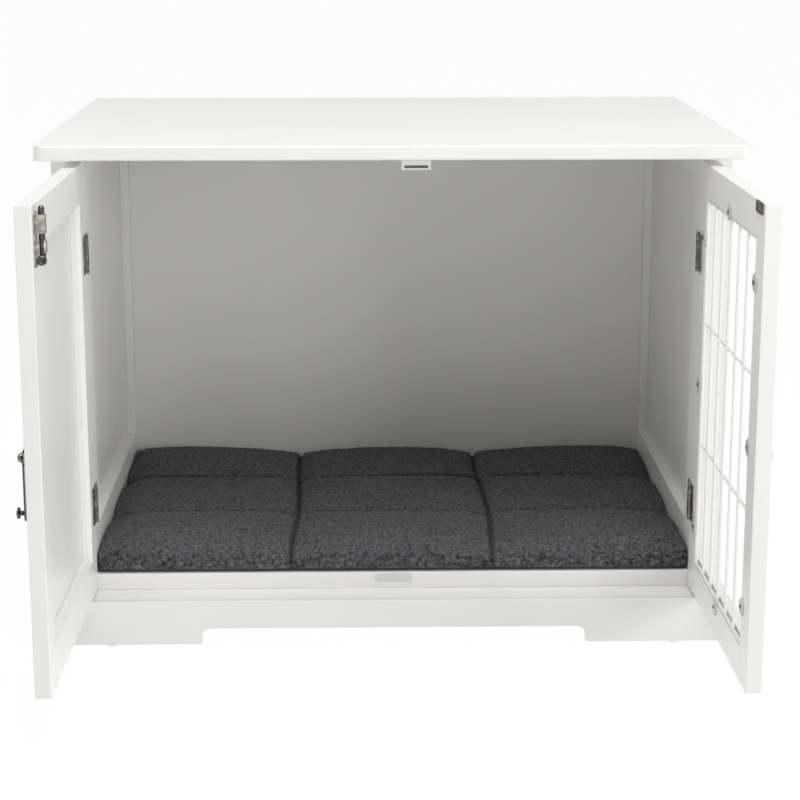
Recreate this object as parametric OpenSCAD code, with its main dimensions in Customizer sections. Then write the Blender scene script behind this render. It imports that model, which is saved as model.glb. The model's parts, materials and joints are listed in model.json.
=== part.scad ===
// Pet crate that doubles as a side table: a white cabinet on a low plinth,
// with a solid left door, a wire-grille right door and a quilted mat.
// X runs to the right, Y to the back, Z up. Both doors are drawn open.

/* [Top board] */
// Width of the top board
top_w = 734; // [620:2:860]
// Depth of the top board
top_d = 530; // [460:5:640]
// Thickness of the top board
top_t = 15; // [12:1:22]
// Radius of the two front corners seen from above
corner_r = 12; // [6:1:24]
// How far the top stands out past the plinth front
front_over = 10; // [6:1:24]
// How far the top stands out past the back
back_over = 10; // [4:1:24]
// Overhang of the top past each side of the body
side_over = 11.5; // [4:0.5:24]

/* [Body] */
// Height from the plinth's underside to the top board's underside
body_h = 523; // [440:1:620]
// Width of each corner post across the front
post_w = 32.5; // [28:0.5:45]
// Depth of each front post
post_d = 40; // [30:1:55]
// Depth of each rear post
rear_post_d = 50; // [42:1:60]
// Height of the lower side rail
low_rail_h = 50; // [34:1:70]
// Height of the upper side rail
high_rail_h = 28; // [20:1:50]
// Thickness of the side rails
side_rail_t = 24; // [20:1:27]
// Thickness of the side and back panels
panel_t = 5; // [4:0.5:6]
// How far the side panels lie back from the rails inside
panel_set = 10; // [6:0.5:12]
// Depth of the grooves that hold the panels
groove_d = 6; // [4:0.5:9]
// Play of a panel in its groove
groove_play = 0.2; // [0.1:0.05:0.4]
// Distance from the body's back to the back panel's inner face
back_set = 32; // [26:1:38]
// Thickness of the two rails behind the back panel
back_rail_t = 18; // [12:1:20]
// Height of the two rails behind the back panel
back_rail_h = 40; // [30:1:60]
// Radius of the eased edges of the boards
ease_r = 1; // [0.6:0.1:1.5]

/* [Plinth] */
// Height of the plinth
plinth_h = 49; // [42:1:70]
// Thickness of the plinth boards
plinth_t = 18; // [15:1:22]
// Thickness of the lip in front of the ledge board
lip_t = 7; // [5:0.5:9]
// Thickness of the ledge board
ledge_t = 15; // [10:1:18]
// Width of the ledge board from front to back
ledge_w = 68; // [60:1:90]
// Depth of the ledge in front of the floor and posts
ledge_d = 40; // [34:1:48]
// Play between the lip and the ledge board
ledge_play = 0.3; // [0.1:0.1:0.6]
// Width of the arch cut in the plinth front
arch_w = 415; // [300:5:460]
// Height of the arch
arch_h = 18; // [14:1:24]
// Radius of the arch's upper corners
arch_r = 11; // [6:1:13]
// Thickness of the floor panel
floor_t = 18; // [15:1:22]
// Height of the foot glides
foot_h = 4; // [3:0.5:12]
// Diameter of the foot glides
foot_dia = 12; // [10:1:16]
// Distance of the foot glides from the body's centre line
foot_x = 304; // [250:1:330]

/* [Doors] */
// Thickness of the doors
door_t = 15.5; // [14:0.5:18]
// Gap between the ledge and the doors
door_gap_low = 2; // [1.5:0.5:5]
// Gap between the doors and the top board
door_gap_high = 7; // [5:0.5:12]
// Gap between a door and its post, seen from the front
door_gap_side = 2.5; // [2:0.25:3.5]
// Gap between the two doors
door_gap_mid = 2; // [1.5:0.5:4]
// Gap between a closed door and the faces of the posts
door_gap_back = 1; // [0.8:0.1:1.5]
// Width of the door stiles
stile_w = 34; // [30:1:50]
// Height of the left door's rails
left_rail_h = 44; // [34:1:60]
// Height of the right door's rails
right_rail_h = 40; // [34:1:60]
// Depth of the left door's recess seen from inside
recess_in = 10; // [7:0.5:11]
// Thickness of the left door's panel
door_panel_t = 3.5; // [2.5:0.5:4]
// Size of the bevel around the recess
bevel = 4; // [2:0.5:5]
// Angle that the doors stand open
open_angle = 90.8; // [60:0.1:93]

/* [Hinges] */
// Height of a hinge
hinge_h = 40; // [38:1:60]
// Distance of the hinge centres from the door's ends
hinge_inset = 96; // [70:1:130]
// Radius of the knuckles
knuckle_r = 2.4; // [2.2:0.1:2.6]
// Radius of the hinge pins
pin_r = 1.2; // [1:0.1:1.4]
// Running clearance around the pins
pin_play = 0.05; // [0.02:0.01:0.1]
// Thickness of the leaves
leaf_t = 1.2; // [1:0.1:1.4]
// Width of the leaves from the pin
leaf_w = 17; // [14:1:22]
// Distance of the pin from the post's inner edge
pin_side = 1.5; // [1.3:0.1:2]
// Radius of the screws' shanks
screw_r = 1.2; // [1:0.1:1.5]
// Radius of the hinge screws' heads
screw_head_r = 2.3; // [2:0.1:2.6]
// Length of the screws in the wood
screw_len = 8; // [6:0.5:10]

/* [Grille] */
// Diameter of the grille wires
wire_dia = 3.2; // [2.4:0.1:4]
// Number of upright wires between the two edge wires
wires_between = 5; // [3:1:7]
// Number of cross wires between the two edge wires
cross_between = 2; // [1:1:3]
// Width of the rabbet that holds the grille
rabbet_w = 6; // [5:0.5:8]
// Depth of the rabbet
rabbet_d = 5; // [4.5:0.5:7]
// Diameter of the grille retainers
clip_dia = 18; // [14:1:20]
// Thickness of the grille retainers
clip_t = 1.8; // [1.4:0.1:2.5]

/* [Fittings] */
// Centre of the magnetic catch right of the doors' meeting line
catch_x = 24; // [20:1:30]
// Width of the catch
catch_w = 31; // [26:1:36]
// Height of the catch
catch_h = 16; // [14:1:20]
// Depth of the catch
catch_d = 16; // [12:1:24]
// Length of the bolt's base plate
bolt_len = 50; // [48:1:64]
// Width of the bolt's base plate
bolt_w = 20; // [16:1:24]
// Radius of the bolt's rod
rod_r = 3; // [2.4:0.1:3.4]
// Travel of the bolt
bolt_travel = 16; // [13:0.5:17]
// Height of the bolt's axis over the door's face
rod_over = 6.3; // [6:0.1:7]
// Radius of the bolt's knob
knob_r = 4.6; // [3.6:0.1:4.8]
// Distance of the fittings from a door's meeting edge
fitting_in = 17; // [14:0.5:19]
// Height of the latch pivot above the doors' lower ends
latch_up = 230; // [150:1:330]
// Length of the latch arm from its pivot to its knob
arm_len = 53; // [46:1:64]
// Width of the latch arm
arm_w = 7; // [5:0.5:9]
// Thickness of the latch arm
arm_t = 1.8; // [1.4:0.1:2.4]
// Width of the latch keeper
keeper_w = 12; // [9:1:16]
// Height of the latch keeper
keeper_h = 27; // [24:1:34]
// Width of the strike plate
strike_w = 30; // [22:1:32]
// Height of the strike plate
strike_h = 11; // [8:1:11]

/* [Mat] */
// Gap between the mat and the side rails
mat_gap_side = 1.5; // [1:0.5:10]
// Gap between the mat and the floor's front edge
mat_gap_front = 3.5; // [2:0.5:12]
// Gap between the mat and the back panel
mat_gap_back = 4; // [2:0.5:10]
// Thickness of the mat at the middle of a section
mat_t = 37; // [26:1:44]
// Thickness of the mat at the seams that run from front to back
seam_t = 26; // [16:0.5:32]
// Share of a section's fullness that is left at the seams across the mat
cross_keep = 0.5; // [0:0.05:0.9]

/* [Hidden] */
$fn = 48;
foot_z = foot_h;
ledge_z = foot_h + plinth_h;
floor_z = ledge_z + floor_t;
under_z = foot_h + body_h;
body_w = top_w - 2*side_over;
body_d = top_d - front_over - back_over;
half_w = body_w/2;
open_half = half_w - post_w;
rear_y = body_d - rear_post_d;
back_y = body_d - back_set;
panel_x = open_half + panel_set;
pin_x = open_half - pin_side;
pin_y = ledge_d;
door_x0 = door_gap_side - pin_side;
door_x1 = pin_x - door_gap_mid/2;
door_in = -door_gap_back;
door_out = door_in - door_t;
door_z0 = ledge_z + door_gap_low;
door_z1 = under_z - door_gap_high;
door_h = door_z1 - door_z0;
hinge_zs = [door_z0 + hinge_inset, door_z1 - hinge_inset];
hinge_screws = [-hinge_h/2 + 6, hinge_h/2 - 6];
door_front = pin_y - door_x1*sin(open_angle) + door_in*cos(open_angle);
centre_y = (door_front + body_d + back_over)/2;
fit_x = door_x1 - fitting_in;
wire_r = wire_dia/2;
rabbet_in = stile_w;
open_in = stile_w + rabbet_w;
grille_play = 0.6;
grille_in = rabbet_in + grille_play + wire_r;
grille_y = door_in - 0.3 - wire_r;
clip_in = rabbet_in - 4;
rod_y = door_in + rod_over;
bolt_top = door_z1 - 7;
bolt_low = bolt_top - bolt_len;
rod_tip = door_z1 - 1;
knob_z = bolt_low + 7;
rod_low = knob_z - 4;
guide_wall = 1.2;
guide_r = rod_r + 0.06 + guide_wall;
high_guide = [bolt_top - 19, 17];
low_guide = [knob_z + knob_r + 2, 11];
latch_z = door_z0 + latch_up;
rose_t = 2.6;
stud_r = 2.4;
arm_gap = 0.3;
arm_tail = 4;
arm_y = door_out - rose_t - arm_gap;
mat_x = open_half - mat_gap_side;
mat_y0 = ledge_d + mat_gap_front;
mat_y1 = back_y - mat_gap_back;
mat_z = floor_z + 0.3;
magnet_z = under_z - catch_h + 2;
catch_y = ledge_d + 1;
strike_x = pin_x - catch_x;
strike_z = magnet_z + 1.25;

white = [0.93, 0.93, 0.92];
nickel = [0.72, 0.70, 0.67];
dark_steel = [0.25, 0.25, 0.26];

// Moves what is drawn from the plinth front to the middle of the open crate
module centred() {
  translate([0, -centre_y, 0]) children();
}

// Draws on the left, or mirrors to the right
module on_side(side) {
  if (side == "left") children();
  else mirror([1, 0, 0]) children();
}

// Puts what is drawn in a closed door's own frame, with the pin at 0, on the open door
module on_door(side) {
  centred() on_side(side) translate([-pin_x, pin_y, 0]) rotate([0, 0, -open_angle]) children();
}

// Flat outline with eased corners
module eased(w, d, r) {
  translate([r, 0]) square([w - 2*r, d]);
  translate([0, r]) square([w, d - 2*r]);
  for (x = [r, w - r]) for (y = [r, d - r]) translate([x, y]) circle(r);
}

// Board that stands upright, with its long edges eased
module upright(w, d, h, r = ease_r) {
  linear_extrude(h) eased(w, d, r);
}

// Board that lies along X, with its long edges eased
module lying(w, d, h, r = ease_r) {
  translate([0, 0, h]) rotate([0, 90, 0]) linear_extrude(w) eased(h, d, r);
}

// Board that runs from front to back, with its long edges eased
module running(w, d, h, r = ease_r) {
  translate([0, d, 0]) rotate([90, 0, 0]) linear_extrude(d) eased(w, h, r);
}

module top_outline() {
  translate([-top_w/2, corner_r]) square([top_w, top_d - corner_r]);
  translate([-top_w/2 + corner_r, 0]) square([top_w - 2*corner_r, corner_r + 1]);
  for (x = [-1, 1]) translate([x*(top_w/2 - corner_r), corner_r]) circle(corner_r);
}

module top_board() {
  color(white) centred() difference() {
    intersection() {
      translate([0, -front_over, under_z]) linear_extrude(top_t) top_outline();
      translate([-top_w/2, -front_over, under_z]) lying(top_w, top_d, top_t, 2);
      translate([-top_w/2, -front_over, under_z]) running(top_w, top_d, top_t, 2);
    }
    translate([fit_x - pin_x, pin_y + rod_y, under_z - 1]) cylinder(h = 11, r = rod_r + 0.5);
  }
}

// Room that the knuckles and pin heads need in the wood, in a door's frame
module knuckle_room() {
  for (z = hinge_zs) translate([0, 0, z - hinge_h/2 - 1.5]) cylinder(h = hinge_h + 3, r = knuckle_r + 0.4);
}

// Pilot hole for a screw, along Z down from the face that it goes into
module screw_hole() {
  translate([0, 0, -screw_len - 1]) cylinder(h = screw_len + 2, r = screw_r + 0.1);
}

// Holes for the hinge screws in the post, in a door's frame
module post_screw_holes() {
  for (z = hinge_zs) for (s = hinge_screws)
    translate([-pin_side, leaf_w - 5, z + s]) rotate([0, 90, 0]) screw_hole();
}

// Holes for the hinge screws in the door, in a door's frame
module door_screw_holes() {
  for (z = hinge_zs) for (s = hinge_screws)
    translate([leaf_w - 5, door_in, z + s]) rotate([-90, 0, 0]) screw_hole();
}

module panel_groove(y0, y1) {
  translate([-panel_x - panel_t - groove_play, y0, floor_z + low_rail_h - groove_d])
    cube([panel_t + 2*groove_play, y1 - y0, under_z - floor_z - low_rail_h - high_rail_h + 2*groove_d]);
}

module front_post(side) {
  color(white) centred() on_side(side) difference() {
    translate([-half_w, ledge_d, floor_z]) upright(post_w, post_d, under_z - floor_z);
    panel_groove(ledge_d + post_d - groove_d, ledge_d + post_d + 1);
    translate([-pin_x, pin_y, 0]) {
      knuckle_room();
      post_screw_holes();
    }
  }
}

module rear_post(side) {
  color(white) centred() on_side(side) difference() {
    translate([-half_w, rear_y, floor_z]) upright(post_w, rear_post_d, under_z - floor_z);
    panel_groove(rear_y - 1, rear_y + groove_d);
    translate([-open_half - groove_d, back_y - groove_play, floor_z - 1])
      cube([groove_d + 1, panel_t + 2*groove_play, under_z - floor_z + 2]);
  }
}

module side_rail(side, z, h, groove_z) {
  color(white) centred() on_side(side) difference() {
    translate([-open_half - side_rail_t, ledge_d + post_d, z])
      running(side_rail_t, rear_y - ledge_d - post_d, h);
    translate([-panel_x - panel_t - groove_play, ledge_d + post_d - 1, groove_z])
      cube([panel_t + 2*groove_play, rear_y - ledge_d - post_d + 2, groove_d + 1]);
  }
}

module side_low_rail(side) {
  side_rail(side, floor_z, low_rail_h, floor_z + low_rail_h - groove_d);
}

module side_high_rail(side) {
  side_rail(side, under_z - high_rail_h, high_rail_h, under_z - high_rail_h - 1);
}

module side_panel(side) {
  seat = groove_d - 0.3;
  color(white) centred() on_side(side)
    translate([-panel_x - panel_t, ledge_d + post_d - seat, floor_z + low_rail_h - seat])
      cube([panel_t, rear_y - ledge_d - post_d + 2*seat,
            under_z - floor_z - low_rail_h - high_rail_h + 2*seat]);
}

module back_panel() {
  seat = groove_d - 0.3;
  color(white) centred() translate([-open_half - seat, back_y, floor_z])
    cube([2*(open_half + seat), panel_t, under_z - floor_z]);
}

module back_rail(z) {
  color(white) centred() translate([-open_half, back_y + panel_t, z])
    lying(2*open_half, back_rail_t, back_rail_h);
}

module back_low_rail() {
  back_rail(floor_z);
}

module back_high_rail() {
  back_rail(under_z - back_rail_h);
}

module floor_panel() {
  color(white) centred() translate([-half_w, ledge_d, ledge_z]) lying(body_w, body_d - ledge_d, floor_t);
}

module ledge_board() {
  color(white) centred() translate([-half_w + plinth_t, lip_t + ledge_play, ledge_z - ledge_t])
    cube([body_w - 2*plinth_t, ledge_w, ledge_t]);
}

module arch_outline() {
  translate([-arch_w/2, -1]) square([arch_w, arch_h - arch_r + 1]);
  translate([-arch_w/2 + arch_r, -1]) square([arch_w - 2*arch_r, arch_h + 1]);
  for (x = [-1, 1]) translate([x*(arch_w/2 - arch_r), arch_h - arch_r]) circle(arch_r);
}

module plinth_front() {
  color(white) centred() difference() {
    translate([-half_w, 0, foot_z]) lying(body_w, plinth_t, plinth_h);
    translate([0, plinth_t + 1, foot_z]) rotate([90, 0, 0]) linear_extrude(plinth_t + 2) arch_outline();
    translate([-half_w + plinth_t, lip_t, ledge_z - ledge_t])
      cube([body_w - 2*plinth_t, plinth_t, ledge_t + 1]);
  }
}

module plinth_side(side) {
  color(white) centred() on_side(side) translate([-half_w, plinth_t, foot_z])
    cube([plinth_t, body_d - 2*plinth_t, plinth_h]);
}

module plinth_back() {
  color(white) centred() translate([-half_w, body_d - plinth_t, foot_z]) lying(body_w, plinth_t, plinth_h);
}

module foot_glides() {
  r = foot_dia/2;
  color("white") centred() for (x = [-foot_x, foot_x]) for (y = [plinth_t/2, body_d - plinth_t/2])
    translate([x, y, 0]) rotate_extrude()
      polygon([[0, 0], [r*0.72, 0], [r*0.9, foot_h*0.15], [r, foot_h*0.4], [r, foot_h], [0, foot_h]]);
}

module catch_housing() {
  color("white") centred() translate([catch_x - catch_w/2, catch_y, under_z - catch_h]) difference() {
    upright(catch_w, catch_d, catch_h, 2);
    translate([3, -1, 1.8]) cube([catch_w - 6, catch_d - 3, 2.9]);
    translate([3, -1, catch_h - 7]) cube([catch_w - 6, 2, 3]);
  }
}

module catch_magnet() {
  color(dark_steel) centred() translate([catch_x - catch_w/2 + 3.2, catch_y - 0.5, magnet_z])
    cube([catch_w - 6.4, catch_d - 4, 2.5]);
}

module door_stop_pad() {
  pad_t = door_gap_back - 0.3;
  color("white") centred() translate([0, ledge_d, ledge_z + 8]) rotate([90, 0, 0]) linear_extrude(pad_t) {
    translate([-16, 0]) square([32, 9.5]);
    for (x = [-16, 16]) translate([x, 4.75]) circle(4.75);
  }
}

// One third of a hinge's barrel, counted from its lower end
module barrel(third) {
  len = hinge_h/3;
  translate([0, 0, third*len + 0.15]) cylinder(h = len - 0.3, r = knuckle_r);
}

// Leaf on the post, in a door's frame: it lies on the post's inner side
module post_leaf() {
  difference() {
    union() {
      translate([-pin_side, 0, 0]) cube([leaf_t, leaf_w, hinge_h]);
      barrel(0);
      barrel(2);
    }
    translate([0, 0, hinge_h/3]) cylinder(h = hinge_h/3, r = knuckle_r + 0.3);
    translate([0, 0, -1]) cylinder(h = hinge_h + 2, r = pin_r + pin_play);
    for (s = hinge_screws) translate([-pin_side - 1, leaf_w - 5, hinge_h/2 + s])
      rotate([0, 90, 0]) cylinder(h = leaf_t + 2, r = screw_r + 0.1);
  }
}

// Leaf on the door, in its frame: it lies on the door's inner face
module door_leaf() {
  difference() {
    union() {
      translate([0, door_in, 0]) cube([leaf_w, leaf_t, hinge_h]);
      barrel(1);
    }
    for (z = [-1, 2*hinge_h/3]) translate([0, 0, z]) cylinder(h = hinge_h/3 + 1, r = knuckle_r + 0.3);
    translate([0, 0, -1]) cylinder(h = hinge_h + 2, r = pin_r + pin_play);
    for (s = hinge_screws) translate([leaf_w - 5, door_in - 1, hinge_h/2 + s])
      rotate([-90, 0, 0]) cylinder(h = leaf_t + 2, r = screw_r + 0.1);
  }
}

module at_hinges() {
  for (z = hinge_zs) translate([0, 0, z - hinge_h/2]) children();
}

module at_posts() {
  centred() for (side = ["left", "right"]) on_side(side) translate([-pin_x, pin_y, 0]) at_hinges() children();
}

module cabinet_hinge_leaves() {
  color(nickel) at_posts() post_leaf();
}

module hinge_pins() {
  color(nickel) at_posts() {
    cylinder(h = hinge_h, r = pin_r);
    for (z = [-0.8, hinge_h]) translate([0, 0, z]) cylinder(h = 0.8, r = pin_r + 0.7);
  }
}

// Screw along Z: a round head on top of a shank that runs down
module screw(head_r, head_h, len) {
  translate([0, 0, -len]) cylinder(h = len, r = screw_r);
  rotate_extrude()
    polygon([[0, 0], [head_r, 0], [head_r*0.85, head_h*0.6], [head_r*0.5, head_h], [0, head_h]]);
}

module cabinet_hinge_screws() {
  color(nickel) at_posts() for (s = hinge_screws)
    translate([leaf_t - pin_side, leaf_w - 5, hinge_h/2 + s]) rotate([0, 90, 0])
      screw(screw_head_r, 0.8, screw_len + leaf_t);
}

module door_hinge_leaves(side) {
  color(nickel) on_door(side) at_hinges() door_leaf();
}

module door_hinge_screws(side) {
  color(nickel) on_door(side) at_hinges() for (s = hinge_screws)
    translate([leaf_w - 5, door_in + leaf_t, hinge_h/2 + s]) rotate([-90, 0, 0])
      screw(screw_head_r, 0.8, screw_len + leaf_t);
}

// Bevelled edge of the left door's recess, as the space that it cuts away
module recess_bevel() {
  x0 = door_x0 + stile_w;
  x1 = door_x1 - stile_w;
  z0 = door_z0 + left_rail_h;
  z1 = door_z1 - left_rail_h;
  y0 = door_in - bevel;
  y1 = door_in + 1;
  c = bevel + 1;
  intersection() {
    translate([0, 0, door_z0]) linear_extrude(door_h)
      polygon([[x0, y0], [x1, y0], [x1 + c, y1], [x0 - c, y1]]);
    translate([door_x0, 0, 0]) rotate([90, 0, 90]) linear_extrude(door_x1 - door_x0)
      polygon([[y0, z0], [y1, z0 - c], [y1, z1 + c], [y0, z1]]);
  }
}

// Slot in the frame that holds the left door's panel
module door_panel_slot(play) {
  seat = 6;
  y = door_in - recess_in - door_panel_t - play;
  w = door_x1 - door_x0 - 2*stile_w + 2*seat;
  h = door_h - 2*left_rail_h + 2*seat;
  translate([door_x0 + stile_w - seat, y, door_z0 + left_rail_h - seat]) cube([w, door_panel_t + 2*play, h]);
}

module left_stile(x) {
  color(white) on_door("left") difference() {
    translate([x, door_out, door_z0]) upright(stile_w, door_t, door_h);
    recess_bevel();
    door_panel_slot(0.2);
    knuckle_room();
    door_screw_holes();
    bolt_screw_places() screw_hole();
  }
}

module left_hinge_stile() {
  left_stile(door_x0);
}

module left_meeting_stile() {
  left_stile(door_x1 - stile_w);
}

module left_rail(z) {
  color(white) on_door("left") difference() {
    translate([door_x0 + stile_w, door_out, z]) lying(door_x1 - door_x0 - 2*stile_w, door_t, left_rail_h);
    recess_bevel();
    door_panel_slot(0.2);
  }
}

module left_high_rail() {
  left_rail(door_z1 - left_rail_h);
}

module left_low_rail() {
  left_rail(door_z0);
}

module left_door_panel() {
  color(white) on_door("left") intersection() {
    door_panel_slot(0);
    translate([door_x0 + stile_w - 5.7, -door_t*2, door_z0 + left_rail_h - 5.7])
      cube([door_x1 - door_x0 - 2*stile_w + 11.4, door_t*2, door_h - 2*left_rail_h + 11.4]);
  }
}

// Where the bolt's four screws go, with Z out of the door
module bolt_screw_places() {
  for (x = [-7, 7]) for (z = [bolt_low + 3.5, bolt_top - 3.5])
    translate([fit_x + x, door_in, z]) rotate([-90, 0, 0]) children();
}

// Bridge that guides the bolt's rod, with its bore left to be cut
module guide(span) {
  translate([fit_x, 0, span[0]]) linear_extrude(span[1]) {
    translate([0, rod_y]) circle(guide_r);
    translate([-guide_r, door_in]) square([2*guide_r, rod_y - door_in]);
    translate([-guide_r - 0.9, door_in]) square([2*guide_r + 1.8, 1.4]);
  }
}

module bolt_base() {
  color(nickel) on_door("left") difference() {
    union() {
      translate([fit_x - bolt_w/2, door_in + 1, bolt_low]) rotate([90, 0, 0]) linear_extrude(1)
        eased(bolt_w, bolt_len, 3);
      guide(high_guide);
      guide(low_guide);
    }
    translate([fit_x, rod_y, bolt_low - 1]) cylinder(h = bolt_len + 2, r = rod_r + 0.06);
    translate([fit_x, rod_y - 1.9, low_guide[0] - 1]) cube([guide_r + 2, 3.8, low_guide[1] + 2]);
    bolt_screw_places() cylinder(h = 4, r = screw_r + 0.1, center = true);
  }
}

module bolt_screws() {
  color(nickel) on_door("left") bolt_screw_places() translate([0, 0, 1]) screw(2, 0.5, screw_len + 1);
}

// Round rod with a turned knob that points to the door's meeting edge
module bolt_rod() {
  r = knob_r;
  out = guide_r + 1;
  color(nickel) on_door("left") translate([fit_x, rod_y, 0]) {
    translate([0, 0, rod_low]) cylinder(h = rod_tip - rod_low - 2, r = rod_r);
    translate([0, 0, rod_tip - 2]) rotate_extrude() polygon([[0, 0], [rod_r, 0], [rod_r - 1.6, 2], [0, 2]]);
    translate([0, 0, knob_z]) rotate([0, 90, 0]) rotate_extrude()
      polygon([[0, 0], [1.5, 0], [1.5, out], [r - 0.8, out], [r, out + 0.8], [r, out + 2.6],
               [r - 1, out + 3.6], [r - 2.2, out + 3.6], [r - 2.6, out + 3.2], [0, out + 3.2]]);
  }
}

module latch_rose() {
  color(nickel) on_door("left") translate([fit_x, door_out, latch_z]) rotate([90, 0, 0]) {
    linear_extrude(rose_t - 0.6) hull() for (y = [0, 5]) translate([0, y]) circle(8.5);
    linear_extrude(rose_t) hull() for (y = [0, 5]) translate([0, y]) circle(7.5);
    cylinder(h = rose_t + arm_t + 2*arm_gap, r = stud_r);
  }
}

module latch_cap() {
  color(nickel) on_door("left") translate([fit_x, arm_y - arm_t - arm_gap, latch_z]) rotate([90, 0, 0])
    rotate_extrude() polygon([[0, 0], [4.6, 0], [4.6, 1.2], [4.1, 2.6], [2.9, 3.8], [1.3, 4.4], [0, 4.5]]);
}

module latch_arm() {
  color(nickel) on_door("left") translate([fit_x, arm_y, latch_z]) rotate([90, 0, 0]) {
    linear_extrude(arm_t) difference() {
      union() {
        circle(6.5);
        translate([-arm_w/2, -arm_len - arm_tail]) square([arm_w, arm_len + arm_tail]);
        translate([0, -arm_len - arm_tail]) circle(arm_w/2);
      }
      circle(stud_r + 0.08);
    }
    translate([0, -arm_len, arm_t]) rotate_extrude()
      polygon([[0, 0], [3.2, 0], [2.4, 1.2], [2.4, 3.6], [4.6, 4], [5.6, 4.8], [5.6, 6.2], [4.6, 7], [0, 7.2]]);
  }
}

// Where the keeper's two screws go, with Z out of the door
module keeper_screw_places() {
  for (z = [-keeper_h/2 + 3.2, keeper_h/2 - 3.2])
    translate([fit_x, door_out, latch_z + z]) rotate([90, 0, 0]) children();
}

// Where the strike's screw goes, with Z out of the door
module strike_screw_place() {
  translate([strike_x, door_in, strike_z]) rotate([-90, 0, 0]) children();
}

// Keeper seen from the side: flat ends and a ramp up to the pad that the arm rests against
module keeper_outline() {
  half = keeper_h/2;
  polygon([[0, -half], [0.8, -half], [1, -half + 0.3], [1, -half + 6.2], [rose_t, -half + 9],
           [rose_t, half - 9], [1, half - 6.2], [1, half - 0.3], [0.8, half], [0, half]]);
}

module latch_keeper() {
  color(nickel) on_door("right") difference() {
    translate([fit_x + keeper_w/2, door_out, latch_z]) rotate([90, 0, -90])
      linear_extrude(keeper_w) keeper_outline();
    keeper_screw_places() translate([0, 0, -1]) cylinder(h = 3, r = screw_r + 0.1);
  }
}

module fitting_screws() {
  color(nickel) on_door("right") {
    keeper_screw_places() translate([0, 0, 1]) screw(2, 1, screw_len + 1);
    strike_screw_place() rotate_extrude() polygon([[0, -screw_len], [screw_r, -screw_len], [screw_r, 0.15],
      [screw_r + 1, 1.15], [0, 1.15]]);
  }
}

// Step that the grille sits in, all round the right door's inner face
module rabbet_cut() {
  translate([door_x0 + rabbet_in, door_in - rabbet_d, door_z0 + rabbet_in])
    cube([door_x1 - door_x0 - 2*rabbet_in, rabbet_d + 1, door_h - 2*rabbet_in]);
}

// Where the grille's retainers go, with Z out of the door
module clip_places() {
  x_mid = (door_x0 + door_x1)/2;
  z_mid = (door_z0 + door_z1)/2;
  reach = door_h/2 - 76;
  for (p = [[x_mid, door_z0 + clip_in], [x_mid, door_z1 - clip_in]])
    translate([p[0], door_in, p[1]]) rotate([-90, 0, 0]) children();
  for (x = [door_x0 + clip_in, door_x1 - clip_in]) for (z = [z_mid - reach, z_mid, z_mid + reach])
    translate([x, door_in, z]) rotate([-90, 0, 0]) children();
}

module right_frame_cuts() {
  rabbet_cut();
  knuckle_room();
  door_screw_holes();
  clip_places() screw_hole();
  keeper_screw_places() screw_hole();
  strike_screw_place() screw_hole();
}

module right_stile(x) {
  color(white) on_door("right") difference() {
    translate([x, door_out, door_z0]) upright(stile_w, door_t, door_h);
    right_frame_cuts();
  }
}

// A rail is wider than a stile by the rabbet's step, so it reaches in front of the grille
module right_rail(z) {
  color(white) on_door("right") difference() {
    translate([door_x0 + stile_w, door_out, z]) lying(door_x1 - door_x0 - 2*stile_w, door_t, right_rail_h);
    right_frame_cuts();
  }
}

module right_hinge_stile() {
  right_stile(door_x0);
}

module right_meeting_stile() {
  right_stile(door_x1 - stile_w);
}

module right_high_rail() {
  right_rail(door_z1 - right_rail_h);
}

module right_low_rail() {
  right_rail(door_z0);
}

// Welded grille: an edge wire all round, uprights, and cross wires behind them
module wire_grille() {
  x0 = door_x0 + grille_in;
  x1 = door_x1 - grille_in;
  z0 = door_z0 + grille_in;
  z1 = door_z1 - grille_in;
  pitch = (x1 - x0)/(wires_between + 1);
  lift = (z1 - z0)/(cross_between + 1);
  weld = wire_dia*0.85;
  color(white) on_door("right") {
    for (i = [0 : wires_between + 1]) translate([x0 + i*pitch, grille_y, z0])
      cylinder(h = z1 - z0, r = wire_r);
    for (z = [z0, z1]) translate([x0, grille_y, z]) rotate([0, 90, 0])
      cylinder(h = x1 - x0, r = wire_r);
    for (x = [x0, x1]) for (z = [z0, z1]) translate([x, grille_y, z]) sphere(wire_r);
    for (i = [1 : cross_between]) translate([x0, grille_y - weld, z0 + i*lift]) rotate([0, 90, 0])
      cylinder(h = x1 - x0, r = wire_r);
  }
}

module grille_clips() {
  color([0.95, 0.95, 0.95]) on_door("right") clip_places() difference() {
    rotate_extrude()
      polygon([[0, 0], [clip_dia/2, 0], [clip_dia/2, clip_t*0.5], [clip_dia/2 - 1, clip_t], [0, clip_t]]);
    translate([0, 0, -1]) cylinder(h = clip_t + 2, r = screw_r + 0.1);
  }
}

module grille_screws() {
  color(nickel) on_door("right") clip_places() translate([0, 0, clip_t])
    screw(2.6, 1.2, screw_len + clip_t);
}

module strike_plate() {
  color(dark_steel) on_door("right") strike_screw_place() difference() {
    translate([-strike_w/2, -strike_h/2, 0]) linear_extrude(1.2) eased(strike_w, strike_h, 2);
    translate([0, 0, -1]) cylinder(h = 3, r = screw_r + 0.1);
    translate([0, 0, 0.1]) rotate_extrude()
      polygon([[0, 0], [screw_r + 0.1, 0], [screw_r + 1.4, 1.3], [0, 1.3]]);
  }
}

// Share of a section's fullness across one side of the mat, 0 at a seam and 1 in the middle
function fullness(t) = pow(max(0, 4*(t*3 - floor(t*3))*(1 - (t*3 - floor(t*3)))), 0.22);
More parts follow.
